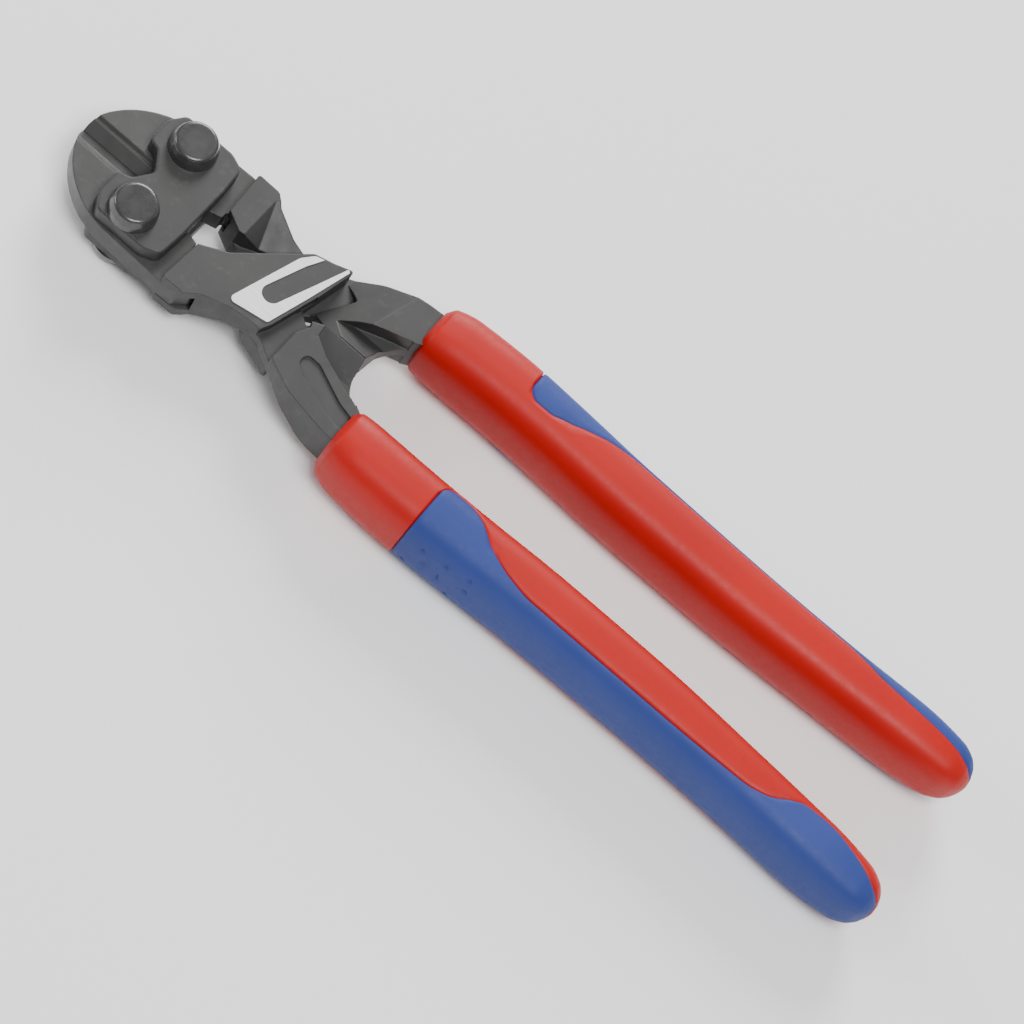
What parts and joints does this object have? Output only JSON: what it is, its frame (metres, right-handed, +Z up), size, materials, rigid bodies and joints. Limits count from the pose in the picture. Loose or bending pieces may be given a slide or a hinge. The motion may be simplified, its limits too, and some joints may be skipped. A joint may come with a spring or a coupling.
{
  "type": "bolt cutters",
  "caption": "Compact lever-action bolt cutters with black forged head, lap-jointed levers and two-colour red and blue grips.",
  "frame": {"origin": "centre of the closed tool's footprint, on the surface that it lies on", "axes": "+X from the blades to the grips along the tool, +Y towards the upper jaw, +Z up through the tool's thickness"},
  "size_m": [0.2009, 0.0442, 0.0184],
  "materials": {
    "black_steel": "satin black phosphated forged steel",
    "rivet_steel": "black domed rivet, glossy flank",
    "silver_field": "bright satin marking field",
    "red_grip": "moulded red grip plastic",
    "blue_grip": "soft blue grip inlay"
  },
  "bodies": {
    "head": {"front_link_plate": "black_steel", "rear_link_plate": "black_steel", "upper_jaw_rivet": "rivet_steel", "lower_jaw_rivet": "rivet_steel"},
    "lower_jaw_body": {"lower_jaw": "black_steel"},
    "upper_jaw_body": {"upper_jaw": "black_steel"},
    "lower_handle": {"lower_lever": "black_steel", "lever_pivot_pin": "black_steel", "lower_hinge_pin": "black_steel", "front_badge": "silver_field", "lower_grip_shell": "red_grip", "lower_grip_inlay": "blue_grip"},
    "upper_handle": {"upper_lever": "black_steel", "upper_hinge_pin": "black_steel", "rear_badge": "silver_field", "upper_grip_shell": "red_grip", "upper_grip_inlay": "blue_grip"}
  },
  "joints": [
    {"name": "lower_jaw_hinge", "type": "hinge", "parent": "head", "child": "lower_jaw_body", "pos_m": [-0.083, -0.0088, 0.0092], "axis": [0, 0, 1], "range_deg": [0, 10]},
    {"name": "upper_jaw_hinge", "type": "hinge", "parent": "head", "child": "upper_jaw_body", "pos_m": [-0.083, 0.0088, 0.0092], "axis": [0, 0, 1], "range_deg": [-10, 0]},
    {"name": "lower_lever_hinge", "type": "hinge", "parent": "lower_jaw_body", "child": "lower_handle", "pos_m": [-0.0674, -0.0096, 0.0092], "axis": [0, 0, 1], "range_deg": [-19.34, 0]},
    {"name": "upper_lever_hinge", "type": "hinge", "parent": "upper_jaw_body", "child": "upper_handle", "pos_m": [-0.0674, 0.0096, 0.0092], "axis": [0, 0, 1], "range_deg": [0, 19.34]}
  ],
  "couplings": [
    {"joint": "upper_jaw_hinge", "follows": "lower_jaw_hinge", "ratio": -1},
    {"joint": "lower_lever_hinge", "follows": "lower_jaw_hinge", "ratio": -1.933},
    {"joint": "upper_lever_hinge", "follows": "lower_jaw_hinge", "ratio": 1.933}
  ]
}
